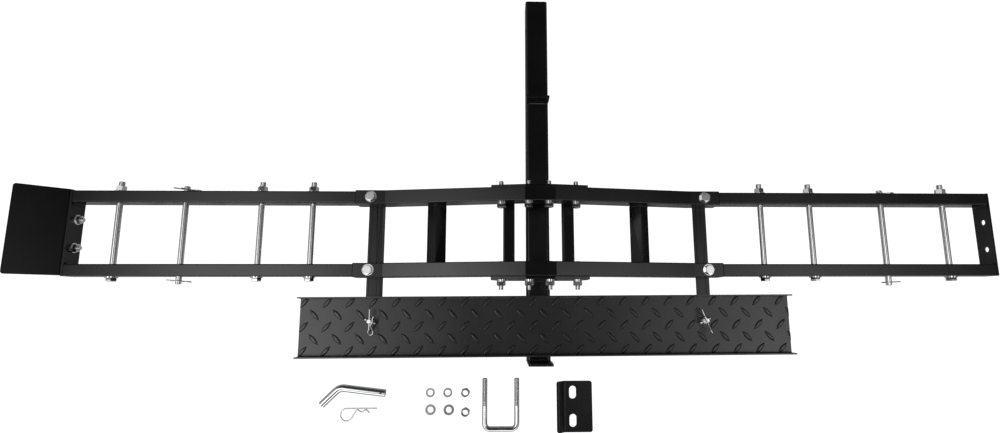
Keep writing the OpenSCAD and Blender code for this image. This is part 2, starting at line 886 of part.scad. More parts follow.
module u_bolt_spring_washers() {
    spots = [[-234.8, -338.4, 60], [-196.9, -338.6, 200]];
    color([0.6, 0.6, 0.62]) at_track() for (p = spots)
        translate([p[0], p[1], floor_z]) rotate([0, 0, p[2]]) spring_washer(m12_r, 9.75, spring_t);
}

module u_bolt_flat_washers() {
    spots = [[-233.6, -374.3], [-194, -374.8]];
    color([0.75, 0.75, 0.77]) at_track() for (p = spots)
        translate([p[0], p[1], floor_z]) washer(m12_r + 0.3, 11.3, m12_washer_t);
}

hitch_tube();
receiver_stop();
tail_plate();
front_gusset();
rear_gusset();
left_short_bar();
right_short_bar();
front_centre_rail();
rear_centre_rail();
left_mid_cross();
right_mid_cross();
left_ramp_arm();
right_ramp_arm();
left_front_wing_rail();
left_rear_wing_rail();
right_front_wing_rail();
right_rear_wing_rail();
left_end_plate();
right_end_plate();
wheel_stop_plate();
wheel_stop_bolts();
wheel_stop_nuts();
wheel_stop_washers();
gusset_bolts();
gusset_nuts();
gusset_washers();
gusset_spring_washers();
wing_joint_bolts();
wing_joint_nuts();
wing_joint_washers();
left_rungs();
right_rungs();
rung_nuts();
rung_washers();
left_wheel_pin();
right_wheel_pin();
left_front_pin_clip();
left_rear_pin_clip();
right_front_pin_clip();
right_rear_pin_clip();
arm_weld_nuts();
ramp_deck();
ramp_studs();
left_wing_nut();
right_wing_nut();
left_ramp_clip();
right_ramp_clip();
hitch_pin();
hitch_pin_clip();
u_bolt();
anti_rattle_plate();
u_bolt_nuts();
u_bolt_spring_washers();
u_bolt_flat_washers();
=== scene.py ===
import json
import math
import random

import bpy
import bmesh
from mathutils import Matrix, Vector


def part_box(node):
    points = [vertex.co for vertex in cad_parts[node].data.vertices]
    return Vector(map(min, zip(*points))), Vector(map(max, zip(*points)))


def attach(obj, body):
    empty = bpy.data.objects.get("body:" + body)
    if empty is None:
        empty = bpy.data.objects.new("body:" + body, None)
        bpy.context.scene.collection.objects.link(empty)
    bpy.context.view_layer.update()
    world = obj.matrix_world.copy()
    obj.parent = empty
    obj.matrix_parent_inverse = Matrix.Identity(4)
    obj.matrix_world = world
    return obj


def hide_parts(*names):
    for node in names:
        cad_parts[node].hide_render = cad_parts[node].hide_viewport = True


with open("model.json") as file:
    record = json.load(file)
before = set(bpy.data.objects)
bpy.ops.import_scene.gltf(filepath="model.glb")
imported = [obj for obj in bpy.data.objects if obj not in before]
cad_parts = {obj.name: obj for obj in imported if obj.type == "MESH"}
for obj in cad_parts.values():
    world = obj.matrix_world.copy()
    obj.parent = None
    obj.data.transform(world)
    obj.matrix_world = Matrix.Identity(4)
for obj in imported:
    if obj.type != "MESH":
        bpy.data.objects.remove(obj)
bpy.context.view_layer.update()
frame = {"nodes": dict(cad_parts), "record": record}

rng = random.Random(7)
MM = 0.001
TRACK_Y = -0.496  # the middle line of the wheel track
FLOOR_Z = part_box("hitch_tube")[0][2]  # the carrier lies on its shank
ALONG_X = Vector((1, 0, 0))
ALONG_Y = Vector((0, 1, 0))
ALONG_Z = Vector((0, 0, 1))


# ---------- node helpers ----------

NOISE_ROUGHNESS = 0.55
EDGE_SAMPLES = 6
OPEN_FACE_DOT = 0.995  # true and bevelled normal agree
SHARP_EDGE_DOT = 0.86  # they differ as much as on a sharp edge


class Nodes:
    """A node tree with short ways to add, join and calculate."""

    def __init__(self, tree):
        self.tree = tree

    def add(self, kind, **values):
        node = self.tree.nodes.new(kind)
        for key, value in values.items():
            setattr(node, key, value)
        return node

    def link(self, source, target):
        self.tree.links.new(source, target)

    def feed(self, socket, value):
        """Sets a socket to a plain value, or joins it to the output of a node."""
        if isinstance(value, (int, float, tuple)):
            socket.default_value = value
        else:
            self.link(value, socket)

    def math(self, operation, a, b=0.0):
        node = self.add("ShaderNodeMath", operation=operation)
        self.feed(node.inputs[0], a)
        self.feed(node.inputs[1], b)
        return node.outputs[0]


class Shader(Nodes):
    """A principled material with noise, blends, edge masks and bumps."""

    def __init__(self, name):
        self.material = bpy.data.materials.new(name)
        self.material.use_nodes = True
        super().__init__(self.material.node_tree)
        self.bsdf = self.tree.nodes["Principled BSDF"]
        self.coords = self.add("ShaderNodeTexCoord").outputs["Object"]

    def set(self, **values):
        for key, value in values.items():
            self.bsdf.inputs[key.replace("_", " ")].default_value = value

    def noise(self, scale, detail, stretch=None):
        """Noise with `scale` cells to the metre, finer along an axis where `stretch` is above 1."""
        source = self.coords
        if stretch:
            mapping = self.add("ShaderNodeMapping")
            mapping.inputs["Scale"].default_value = stretch
            self.link(source, mapping.inputs["Vector"])
            source = mapping.outputs["Vector"]
        node = self.add("ShaderNodeTexNoise")
        node.inputs["Scale"].default_value = scale
        node.inputs["Detail"].default_value = detail
        node.inputs["Roughness"].default_value = NOISE_ROUGHNESS
        self.link(source, node.inputs["Vector"])
        return node.outputs["Fac"]

    def ramp(self, fac, low, high, out_low=0.0, out_high=1.0):
        node = self.add("ShaderNodeMapRange")
        node.inputs["From Min"].default_value = low
        node.inputs["From Max"].default_value = high
        node.inputs["To Min"].default_value = out_low
        node.inputs["To Max"].default_value = out_high
        self.link(fac, node.inputs["Value"])
        return node.outputs["Result"]

    def mix(self, fac, a, b):
        """Blends two colours; sockets 6, 7 and 2 of the node are its colour ones."""
        node = self.add("ShaderNodeMix", data_type="RGBA")
        self.feed(node.inputs[0], fac)
        self.feed(node.inputs[6], a)
        self.feed(node.inputs[7], b)
        return node.outputs[2]

    def edges(self, radius):
        """1 near a sharp edge, 0 on open faces."""
        bevel = self.add("ShaderNodeBevel", samples=EDGE_SAMPLES)
        bevel.inputs["Radius"].default_value = radius
        normal = self.add("ShaderNodeNewGeometry").outputs["Normal"]
        dot = self.add("ShaderNodeVectorMath", operation="DOT_PRODUCT")
        self.link(bevel.outputs["Normal"], dot.inputs[0])
        self.link(normal, dot.inputs[1])
        return self.ramp(dot.outputs["Value"], OPEN_FACE_DOT, SHARP_EDGE_DOT)

    def bumps(self, *layers):
        """Stacks (height, distance, strength) bumps and joins them to the surface."""
        previous = None
        for height, distance, strength in layers:
            bump = self.add("ShaderNodeBump")
            bump.inputs["Distance"].default_value = distance
            bump.inputs["Strength"].default_value = strength
            self.link(height, bump.inputs["Height"])
            if previous:
                self.link(previous, bump.inputs["Normal"])
            previous = bump.outputs["Normal"]
        self.link(previous, self.bsdf.inputs["Normal"])


# ---------- materials ----------

# noise scales, in cells to the metre; the rub noise also spreads the painted edge highlight
COAT_NOISE = {"cloud": 9.0, "speck": 900.0, "rub_and_highlight": 70.0, "chip": 120.0, "peel": 420.0, "grain": 1500.0}
ZINC_NOISE = {"mottle": 110.0, "fine": 500.0}
# edge mask radius, for real chips and for the rubbed edges with their painted highlight
EDGE_WEAR_AND_HIGHLIGHT = 0.9 * MM
CHIP_TONE = 0.3
# pad slopes between these two normal heights fade into painted shade
STEEP_Z = 0.8  # a normal this low is on a slope
FLAT_Z = 0.97


def grey(value):
    return (value, value, value * 1.03, 1.0)


def zinc_tint(tone, red, green, blue):
    return (tone * red, tone * green, tone * blue, 1)


def powder_coat(name, tone, rough, chips=0.66, gloss=0.5, painted_slope_shade=False):
    """Black powder coat with orange peel, faint cloudiness, dust, lighter rubbed edges that are partly a
    painted edge highlight, and a few bright chips on its edges.

    `chips` is the noise level above which an edge is chipped. The slope flag paints shade on what is not
    level: a near-black base colour and less gloss on the slopes.
    """
    s = Shader(name)
    cloud = s.noise(COAT_NOISE["cloud"], 4.0)
    speck = s.noise(COAT_NOISE["speck"], 2.0)
    base = s.mix(s.ramp(cloud, 0.3, 0.7), grey(tone * 0.8), grey(tone * 1.25))
    base = s.mix(s.ramp(speck, 0.68, 0.75, 0.0, 0.25), base, grey(tone * 4.0))
    edge = s.edges(EDGE_WEAR_AND_HIGHLIGHT)
    # rubbed edges, partly painted highlight: a noisy lighter grey along the edges stands in for the
    # highlight on the rounded edges
    rub_and_highlight_level = s.ramp(s.noise(COAT_NOISE["rub_and_highlight"], 4.0), 0.45, 0.7, 0.0, 0.5)
    base = s.mix(s.math("MULTIPLY", edge, rub_and_highlight_level), base, grey(tone * 3.0))
    chip_level = s.ramp(s.noise(COAT_NOISE["chip"], 3.0), chips, chips + 0.03)
    chip = s.math("MULTIPLY", edge, chip_level)
    base = s.mix(chip, base, grey(CHIP_TONE))
    s.set(Specular_IOR_Level=gloss)
    # painted shade: the slopes of the pads get a near-black base colour and less gloss, standing in for
    # the shade on their rims
    if painted_slope_shade:
        split = s.add("ShaderNodeSeparateXYZ")
        s.link(s.add("ShaderNodeNewGeometry").outputs["Normal"], split.inputs["Vector"])
        level = s.ramp(split.outputs["Z"], STEEP_Z, FLAT_Z)
        base = s.mix(level, grey(tone * 0.15), base)
        s.link(s.math("MULTIPLY", level, gloss), s.bsdf.inputs["Specular IOR Level"])
    s.link(base, s.bsdf.inputs["Base Color"])
    s.link(s.ramp(cloud, 0.25, 0.75, rough - 0.04, rough + 0.05), s.bsdf.inputs["Roughness"])
    s.link(s.math("MULTIPLY", chip, 0.9), s.bsdf.inputs["Metallic"])
    peel = s.noise(COAT_NOISE["peel"], 2.0)
    grain = s.noise(COAT_NOISE["grain"], 2.0)
    s.bumps((peel, 0.05 * MM, 0.5), (grain, 0.02 * MM, 0.3))
    return s.material


def zinc(name, tone, rough, streak=(1.0, 1.0, 1.0)):
    """Bright zinc plate on drawn steel, with fine streaks and a soft mottling."""
    s = Shader(name)
    mottle = s.noise(ZINC_NOISE["mottle"], 2.0)
    fine = s.noise(ZINC_NOISE["fine"], 2.0, streak)
    cool = zinc_tint(tone, 0.88, 0.9, 0.93)
    dull = zinc_tint(tone, 0.7, 0.71, 0.74)
    base = s.mix(s.ramp(mottle, 0.3, 0.7), cool, zinc_tint(tone, 1, 1, 1))
    base = s.mix(s.ramp(fine, 0.5, 0.8, 0.0, 0.18), base, dull)
    s.link(base, s.bsdf.inputs["Base Color"])
    s.link(s.ramp(mottle, 0.3, 0.7, rough - 0.03, rough + 0.05), s.bsdf.inputs["Roughness"])
    s.set(Metallic=1.0)
    s.bumps((fine, 0.008 * MM, 0.06), (mottle, 0.03 * MM, 0.05))
    return s.material


frame_coat = powder_coat("frame_coat", 0.004, 0.19)
shank_coat = powder_coat("shank_coat", 0.004, 0.25)
plate_coat = powder_coat("plate_coat", 0.0032, 0.25, chips=0.7)
ramp_coat = powder_coat("ramp_coat", 0.016, 0.28, chips=0.66, gloss=0.66)
# the pads carry painted shade on their slopes
pad_coat = powder_coat("pad_coat", 0.016, 0.28, chips=0.7, gloss=0.66, painted_slope_shade=True)
stop_coat = powder_coat("stop_coat", 0.0024, 0.25, chips=0.7, gloss=0.3)
zinc_plate = zinc("zinc_plate", 0.84, 0.12)
zinc_spring = zinc("zinc_spring", 0.74, 0.16)
zinc_rod = zinc("zinc_rod", 0.84, 0.12, streak=(5.0, 0.05, 5.0))
chrome = zinc("chrome", 0.84, 0.06, streak=(0.3, 0.3, 0.3))

NODE_MATERIAL = {"hitch_pin": chrome, "wheel_stop_plate": stop_coat}
SLOT_MATERIAL = {
    "frame_coat": frame_coat,
    "shank_coat": shank_coat,
    "plate_coat": plate_coat,
    "ramp_coat": ramp_coat,
    "zinc": zinc_plate,
    "spring_zinc": zinc_spring,
}


# ---------- the CAD nodes ----------

WELD_REACH = 0.02 * MM
BEVEL_ABOVE = math.radians(40)
CASTING_VOXEL = 0.3 * MM

# radius in mm of the rounded edges
EDGE_ROUND = {
    "front_centre_rail": 2.6,
    "rear_centre_rail": 2.6,
    "wheel_stop_plate": 0.8,
    "anti_rattle_plate": 0.9,
    "front_gusset": 0.7,
    "rear_gusset": 0.7,
    "left_ramp_arm": 0.8,
    "right_ramp_arm": 0.8,
    "left_mid_cross": 0.9,
    "right_mid_cross": 0.9,
    "receiver_stop": 0.7,
    "tail_plate": 0.7,
    "left_end_plate": 0.7,
    "right_end_plate": 0.7,
}


def round_edges(node, radius):
    weld = node.modifiers.new("weld", "WELD")
    weld.merge_threshold = WELD_REACH
    bevel = node.modifiers.new("bevel", "BEVEL")
    bevel.width = radius
    bevel.segments = 3
    bevel.limit_method = "ANGLE"
    bevel.angle_limit = BEVEL_ABOVE
    bevel.harden_normals = True


def soften_casting(node):
    """Melts a node's solids together, as in a casting."""
    remesh = node.modifiers.new("remesh", "REMESH")
    remesh.mode = "VOXEL"
    remesh.voxel_size = CASTING_VOXEL
    remesh.use_smooth_shade = True
    soften = node.modifiers.new("soften", "SMOOTH")
    soften.factor = 0.6
    soften.iterations = 9


def dress_cad_nodes():
    for part in frame["record"]["subparts"]:
        name = part["node"]
        node = frame["nodes"][name]
        node.data.materials.clear()
        node.data.materials.append(NODE_MATERIAL.get(name) or SLOT_MATERIAL[part["material_slot"]])
        if name in EDGE_ROUND:
            round_edges(node, EDGE_ROUND[name] * MM)
        if name.endswith("wing_nut"):
            soften_casting(node)


def solids_of(name):
    """The separate solids of a CAD node as (low corner, high corner) pairs, sorted by place."""
    mesh = bmesh.new()
    mesh.from_mesh(frame["nodes"][name].data)
    bmesh.ops.remove_doubles(mesh, verts=mesh.verts, dist=0.01 * MM)
    mesh.verts.ensure_lookup_table()
    seen = set()
    found = []
    for start in mesh.verts:
        if start.index in seen:
            continue
        seen.add(start.index)
        stack = [start]
        points = []
        while stack:
            vert = stack.pop()
            points.append(vert.co.copy())
            for edge in vert.link_edges:
                other = edge.other_vert(vert)
                if other.index not in seen:
                    seen.add(other.index)
                    stack.append(other)
        low = Vector([min(p[i] for p in points) for i in range(3)])
        high = Vector([max(p[i] for p in points) for i in range(3)])
        found.append((low, high))
    mesh.free()
    return sorted(found, key=lambda pair: tuple(pair[0]))


def corners_of(name):
    """The low and the high corner of a CAD node."""
    low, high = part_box(name)
    return Vector(low), Vector(high)


# ---------- mesh building ----------

class Builder:
    """Collects rings of points into closed skins and makes one object of them."""

    def __init__(self):
        self.verts = []
        self.faces = []

    def skin(self, rings):
        """Joins rings with equal counts of points by a closed skin."""
        count = len(rings[0])
        base = len(self.verts)
        for ring in rings:
            self.verts.extend(ring)
        for i in range(len(rings) - 1):
            for j in range(count):
                k = (j + 1) % count
                low = base + i * count
                high = low + count
                self.faces.append((low + j, low + k, high + k, high + j))
        self.faces.append(tuple(base + j for j in reversed(range(count))))
        last = base + (len(rings) - 1) * count
        self.faces.append(tuple(last + j for j in range(count)))

    def tube(self, stations, segments):
        """Skins stations of (centre, side, up, radius), where radius may depend on the angle."""
        rings = []
        for centre, side, up, radius in stations:
            ring = []
            for j in range(segments):
                angle = 2 * math.pi * j / segments
                reach = radius(angle) if callable(radius) else radius
                ring.append(centre + (side * math.cos(angle) + up * math.sin(angle)) * reach)
            rings.append(ring)
        self.skin(rings)

    def object(self, name, material, sharp=35):
        """Makes the object; edges above `sharp` degrees stay sharp."""
        mesh = bpy.data.meshes.new(name)
        mesh.from_pydata([tuple(v) for v in self.verts], [], self.faces)
        shape = bmesh.new()
        shape.from_mesh(mesh)
        bmesh.ops.recalc_face_normals(shape, faces=shape.faces)
        shape.to_mesh(mesh)
        shape.free()
        mesh.shade_smooth()
        mesh.set_sharp_from_angle(angle=math.radians(sharp))
        mesh.materials.append(material)
        made = bpy.data.objects.new(name, mesh)
        bpy.context.scene.collection.objects.link(made)
        return made


class Rod:
    """A straight rod along `axis`: places rings at distances from its start."""

    def __init__(self, start, axis, side):
        self.start = start
        self.axis = axis
        self.side = side
        self.up = axis.cross(side)

    def at(self, distance, radius):
        return (self.start + self.axis * distance, self.side, self.up, radius)


def replace_node(name, builder, material, body):
    made = builder.object(name + "_detail", material)
    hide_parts(name)
    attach(made, body)


# ---------- threaded hardware ----------

M12 = {"radius": 6 * MM, "pitch": 1.75 * MM, "depth": 0.95 * MM, "flats": 18 * MM, "head": 7.5 * MM}
M10 = {"radius": 5 * MM, "pitch": 1.5 * MM, "depth": 0.8 * MM, "flats": 16 * MM, "head": 7 * MM}
BAR_SEGMENTS = 48
RINGS_PER_PITCH = 8
TIP_SLOPE = 0.8  # how much a tip's chamfer narrows for its length
PLAIN = 0.99  # plain shank against the thread's crest
M10_TIP = 1.2 * MM

THREADED = {
    "rung": 52 * MM,
    "stop_bolt": 24 * MM,
    "front_gusset_bolt": 30 * MM,
    "rear_gusset_bolt": 39 * MM,
    "u_bolt": 58 * MM,
}


def hexagon(flats):
    """Radius of a hexagon at an angle."""
    def radius(angle):
        turn = (angle + math.pi / 6) % (math.pi / 3) - math.pi / 6
        return flats / 2 / math.cos(turn)
    return radius


def cut_hexagon(flats, limit):
    """Radius of a hexagon whose corners are turned down to `limit`."""
    outline = hexagon(flats)
    return lambda angle: min(outline(angle), limit)


def thread(radius, depth, turn):
    """Radius of a V thread at an angle, at a point `turn` pitches along the rod."""
    def at(angle):
        phase = (turn - angle / (2 * math.pi)) % 1.0
        return radius - depth * abs(2 * phase - 1)
    return at


def head_rings(rod, flats, head):
    """A hexagon head from its free face towards the shank, with turned corners."""
    corner = flats / 2 / math.cos(math.pi / 6)
    cut = flats * 0.07
    face = flats * 0.47
    steps = 5
    rings = []
    for i in range(steps + 1):
        part = i / steps
        limit = face + (corner - face) * part
        rings.append(rod.at(cut * part, cut_hexagon(flats, limit)))
    rings.append(rod.at(head * 0.97, hexagon(flats)))
    rings.append(rod.at(head, hexagon(flats * 0.99)))
    return rings


def thread_rings(rod, size, begin, end, tip):
    """A threaded stretch; `tip` is the length of the chamfer at its end."""
    radius = size["radius"]
    pitch = size["pitch"]
    steps = int((end - begin) / pitch * RINGS_PER_PITCH)
    rings = []
    for i in range(steps + 1):
        place = begin + (end - begin) * i / steps
        fade = min(1.0, (place - begin) / pitch)
        crest = radius
        if end - place < tip:
            crest = radius - (tip - (end - place)) * TIP_SLOPE
        cut = max(0.0, size["depth"] * fade - (radius - crest))
        rings.append(rod.at(place, thread(crest, cut, place / pitch)))
    return rings


def add_bolt(builder, low, high, axis, size, threaded):
    """Hexagon bolt filling the box of its CAD solid; the head is at the start of `axis`."""
    centre = (low + high) / 2
    span = abs((high - low).dot(axis))
    rod = Rod(centre - axis * span / 2, axis, ALONG_Z)
    shank = size["head"]
    radius = size["radius"]
    thread_start = max(span - threaded, shank + 4 * MM)
    rings = head_rings(rod, size["flats"], shank)
    rings.append(rod.at(shank, radius * 1.12))
    for place in (shank + 0.6 * MM, shank + 1.2 * MM):
        rings.append(rod.at(place, radius * PLAIN))
    for place in (thread_start - 1.2 * MM, thread_start - 0.4 * MM):
        rings.append(rod.at(place, radius * PLAIN))
    rings += thread_rings(rod, size, thread_start, span, radius * 0.2)
    builder.tube(rings, BAR_SEGMENTS)


def add_round_head_bolt(builder, low, high):
    """Low round head at the front end, thread at the rear end."""
    head_radius = 9.5 * MM
    head_high = 2 * MM
    steps = 6
    centre = (low + high) / 2
    span = high.y - low.y
    thread_start = span - THREADED["rear_gusset_bolt"]
    rod = Rod(Vector((centre.x, high.y, centre.z)), -ALONG_Y, ALONG_Z)
    rings = []
    for i in range(steps + 1):
        lean = math.pi / 2 * i / steps
        place = head_high * (1 - math.cos(lean))
        rings.append(rod.at(place, max(head_radius * math.sin(lean), 0.3 * MM)))
    rings.append(rod.at(head_high + 0.1 * MM, M10["radius"]))
    rings.append(rod.at(thread_start - 1 * MM, M10["radius"] * PLAIN))
    rings += thread_rings(rod, M10, thread_start, span, M10_TIP)
    builder.tube(rings, BAR_SEGMENTS)


def build_rungs():
    for name in ("left_rungs", "right_rungs"):
        builder = Builder()
        for low, high in solids_of(name):
            add_bolt(builder, low, high, ALONG_Y, M12, THREADED["rung"])
        replace_node(name, builder, zinc_rod, "frame")


def build_stop_bolts():
    builder = Builder()
    for low, high in solids_of("wheel_stop_bolts"):
        add_bolt(builder, low, high, ALONG_X, M10, THREADED["stop_bolt"])
    replace_node("wheel_stop_bolts", builder, zinc_plate, "frame")


def build_gusset_bolts():
    """The bolts of the far gusset have hexagon heads inside the rail, the near ones round heads."""
    builder = Builder()
    for low, high in solids_of("gusset_bolts"):
        if low.y > TRACK_Y:
            add_bolt(builder, low, high, ALONG_Y, M10, THREADED["front_gusset_bolt"])
        else:
            add_round_head_bolt(builder, low, high)
    replace_node("gusset_bolts", builder, zinc_plate, "frame")


def build_ramp_studs():
    """Fully threaded studs, chamfered at both ends."""
    builder = Builder()
    for low, high in solids_of("ramp_studs"):
        centre = (low + high) / 2
        rod = Rod(Vector((centre.x, centre.y, low.z)), ALONG_Z, ALONG_X)
        rings = [rod.at(0.0, 4 * MM), rod.at(0.5 * MM, 4.6 * MM)]
        rings += thread_rings(rod, M10, 1 * MM, high.z - low.z, M10_TIP)
        builder.tube(rings, BAR_SEGMENTS)
    replace_node("ramp_studs", builder, zinc_plate, "ramp")


def build_u_bolt():
    """Round bar bent twice, with a rolled thread on both legs and a slimmer plain part."""
    low, high = solids_of("u_bolt")[0]
    crest = (high.z - low.z) / 2
    plain = crest - 0.2 * MM
    corner = 12 * MM
    tip = 1.3 * MM
    bend_steps = 12
    z = (low.z + high.z) / 2
    left = low.x + crest
    right = high.x - crest
    base = low.y + crest
    pitch = M12["pitch"]
    rings = []

    def leg(x, begin, end):
        steps = int(abs(end - begin) / pitch * RINGS_PER_PITCH)
        sense = 1.0 if end > begin else -1.0
        for i in range(steps + 1):
            y = begin + (end - begin) * i / steps
            from_tip = high.y - y
            tip_cut = max(0.0, tip - from_tip) * TIP_SLOPE
            fade = min(1.0, max(0.0, (THREADED["u_bolt"] - from_tip) / pitch))
            top = plain + (crest - plain) * fade - tip_cut
            depth = max(0.0, M12["depth"] * fade - tip_cut)
            bar = thread(top, depth, y / pitch)
            rings.append((Vector((x, y, z)), Vector((-sense, 0, 0)), ALONG_Z, bar))

    def elbow(x, out):
        centre = Vector((x, base + corner, z))
        rings.append((centre + out * corner, -out, ALONG_Z, plain))

    leg(left, high.y, base + corner)
    for i in range(1, bend_steps + 1):
        turn = math.pi / 2 * i / bend_steps
        elbow(left + corner, Vector((-math.cos(turn), -math.sin(turn), 0)))
    for i in range(bend_steps):
        turn = math.pi / 2 * i / bend_steps
        elbow(right - corner, Vector((math.sin(turn), -math.cos(turn), 0)))
    leg(right, base + corner, high.y)
    builder = Builder()
    builder.tube(rings, 40)
    replace_node("u_bolt", builder, zinc_plate, "u_bolt")


# ---------- tread domes ----------

RAMP = {"long": 1050 * MM, "wide": 126 * MM, "plate": 3 * MM, "turn": math.radians(0.25)}
TREAD = {
    "pitch": 48.7 * MM,
    "row": 25.4 * MM,
    "rows": 5,
    "half_long": 15.2 * MM,
    "half_wide": 4.4 * MM,
    "high": 1.4 * MM,
    "lean": 48,
    "from_end": 8 * MM,
    "from_side": 12 * MM,
    "stagger": 0.46,
}
DOME_SCALES = (1.0, 0.95, 0.89, 0.82, 0.72, 0.55, 0.25)
DOME_SINK = 0.05 * MM
LENS_STEPS = 14


def lens_outline():
    """Two equal arcs that meet in points, as (x, y) around the lens."""
    half_long = TREAD["half_long"]
    half_wide = TREAD["half_wide"]
    arc = (half_long ** 2 + half_wide ** 2) / (2 * half_wide)
    outline = []
    for i in range(2 * LENS_STEPS):
        part = i / LENS_STEPS
        x = half_long * (1 - 2 * part if part <= 1 else 2 * part - 3)
        y = math.sqrt(max(arc * arc - x * x, 0)) - (arc - half_wide)
        outline.append((x, y if part < 1 else -y))
    return outline


def build_treads():
    """Domed lens pads over the flat pads of the deck, cut flush at its ends and flanges."""
    low, high = corners_of("ramp_deck")
    middle = (low + high) / 2
    deck_z = low.z + RAMP["plate"]
    turned_x = Vector((math.cos(RAMP["turn"]), math.sin(RAMP["turn"]), 0))
    turned_y = Vector((-math.sin(RAMP["turn"]), math.cos(RAMP["turn"]), 0))
    half_x = RAMP["long"] / 2
    half_y = RAMP["wide"] / 2
    edge_x = half_x - 0.05 * MM
    edge_y = half_y - 2.5 * MM
    outline = lens_outline()
    per_row = math.ceil(RAMP["long"] / TREAD["pitch"]) + 1
    builder = Builder()

    def dome_ring(cx, cy, lean, scale):
        rise = TREAD["high"] * (1 - scale ** 6)
        ring = []
        for x, y in outline:
            px = cx + (x * math.cos(lean) - y * math.sin(lean)) * scale
            py = cy + (x * math.sin(lean) + y * math.cos(lean)) * scale
            px = min(max(px, -edge_x), edge_x)
            py = min(max(py, -edge_y), edge_y)
            place = middle + turned_x * px + turned_y * py
            ring.append(Vector((place.x, place.y, deck_z - DOME_SINK + rise)))
        return ring

    for row in range(TREAD["rows"]):
        odd = row % 2
        lean = math.radians(-TREAD["lean"] if odd else TREAD["lean"])
        for i in range(per_row):
            shift = TREAD["pitch"] * TREAD["stagger"] if odd else 0
            cx = -half_x + TREAD["from_end"] + shift + i * TREAD["pitch"]
            cy = half_y - TREAD["from_side"] - row * TREAD["row"]
            if cx - 9 * MM > half_x:
                continue
            builder.skin([dome_ring(cx, cy, lean, scale) for scale in DOME_SCALES])
    domes = builder.object("tread_domes", pad_coat, 50)
    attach(domes, "ramp")


# ---------- weld beads ----------

BEAD_SEGMENTS = 14
RIPPLE = {"high": 0.09, "pitch": 3.4 * MM}
SWELL = {"high": 0.1, "pitch": 17 * MM}


def bead(builder, start, end, radius, up=ALONG_Z):
    """A weld bead with overlapping ripples between two points."""
    along = end - start
    length = along.length
    direction = along.normalized()
    side = direction.cross(up).normalized()
    top = side.cross(direction)
    steps = max(int(length / (0.7 * MM)), 6)
    phase = rng.uniform(0, 6)
    rings = []
    for i in range(steps + 1):
        part = i / steps
        ripple = RIPPLE["high"] * math.sin(2 * math.pi * part * length / RIPPLE["pitch"] + phase)
        swell = SWELL["high"] * math.sin(part * length / SWELL["pitch"] + phase * 2)
        taper = min(1.0, 0.35 + 12 * min(part, 1 - part))
        size = radius * (1 + ripple + swell) * taper
        rings.append((start + along * part, side, top, size))
    builder.tube(rings, BEAD_SEGMENTS)


def bead_across(builder, reach, y, z, radius):
    """A bead on top of the shank, from -reach to reach."""
    bead(builder, Vector((-reach, y, z)), Vector((reach, y, z)), radius)


def shank_beads(builder):
    """Beads where the stop, the tail plate and the gussets stand on the shank."""
    shank_top = corners_of("hitch_tube")[1].z
    stop_low, stop_high = corners_of("receiver_stop")
    stop_y = (stop_low.y + stop_high.y) / 2
    for dy in (-2.5, 2.5):
        y = stop_y + dy * MM + math.copysign(1.5 * MM, dy)
        bead_across(builder, 20 * MM, y, shank_top + 1 * MM, 3.2 * MM)
    tail_y = corners_of("tail_plate")[1].y + 1 * MM
    bead_across(builder, 20 * MM, tail_y, shank_top + 0.6 * MM, 3 * MM)
    gusset_z = shank_top + 0.8 * MM
    bead_across(builder, 19 * MM, corners_of("front_gusset")[1].y + 1 * MM, gusset_z, 3 * MM)
    bead_across(builder, 19 * MM, corners_of("rear_gusset")[0].y - 1 * MM, gusset_z, 3 * MM)


def cross_member_beads(builder):
    """Beads up both slopes of each inverted V, where it meets the centre rails."""
    for name in ("left_mid_cross", "right_mid_cross"):
        low, high = corners_of(name)
        middle = (low.x + high.x) / 2
        for y, sense in ((high.y, -1), (low.y, 1)):
            for edge in (low.x, high.x):
                bead_y = y + sense * 0.8 * MM
                foot = Vector((edge * 0.96 + middle * 0.04, bead_y, low.z + 1.5 * MM))
                peak = Vector((middle, bead_y, high.z + 0.4 * MM))
                bead(builder, foot, peak, 2.4 * MM, ALONG_Y)


def end_plate_beads(builder):
    """Upright beads between the end plates and the inner faces of the wing rails."""
    for name, sense in (("left_end_plate", 1), ("right_end_plate", -1)):
        plate_low, plate_high = corners_of(name)
        x = (plate_high.x if sense > 0 else plate_low.x) + sense * 0.8 * MM
        for rail in ("left_front_wing_rail", "left_rear_wing_rail"):
            low, high = corners_of(rail)
            far_rail = low.y > TRACK_Y
            inner = low.y - 0.6 * MM if far_rail else high.y + 0.6 * MM
            foot = Vector((x, inner, low.z + 3 * MM))
            head = Vector((x, inner, high.z - 3 * MM))
            bead(builder, foot, head, 2.6 * MM, ALONG_X)


def short_bar_beads(builder):
    """Beads along both ends of the short bars, against the gussets."""
    for name in ("left_short_bar", "right_short_bar"):
        low, high = corners_of(name)
        for y in (low.y, high.y):
            inward = 1 if y < TRACK_Y else -1
            bead_y = y + inward * 1 * MM
            z = high.z + 0.3 * MM
            left = Vector((low.x + 2 * MM, bead_y, z))
            right = Vector((high.x - 2 * MM, bead_y, z))
            bead(builder, left, right, 2.4 * MM)


def build_welds():
    builder = Builder()
    shank_beads(builder)
    cross_member_beads(builder)
    end_plate_beads(builder)
    short_bar_beads(builder)
    welds = builder.object("weld_beads", frame_coat, 60)
    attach(welds, "frame")


dress_cad_nodes()
build_rungs()
build_stop_bolts()
build_gusset_bolts()
build_ramp_studs()
build_u_bolt()
build_treads()
build_welds()


# ---------- stage, light and camera ----------

BACKDROP_WHITE = 1.1  # what the camera sees of the floor and of the room
FLOOR_HALF = 30.0
FLOOR_GAP = 0.02 * MM

# centre and width across, centre and width along, power
LEFT_PANEL = (-0.48, 0.21, -0.16, 0.34, 4.3)
RIGHT_PANEL = (0.54, 0.24, -0.08, 0.20, 2.5)
CEILING_FILL = 0.02
WALL = {"lift": 0.42, "spread": 0.19, "fill": 0.24, "left": 0.6, "near": 2.4}


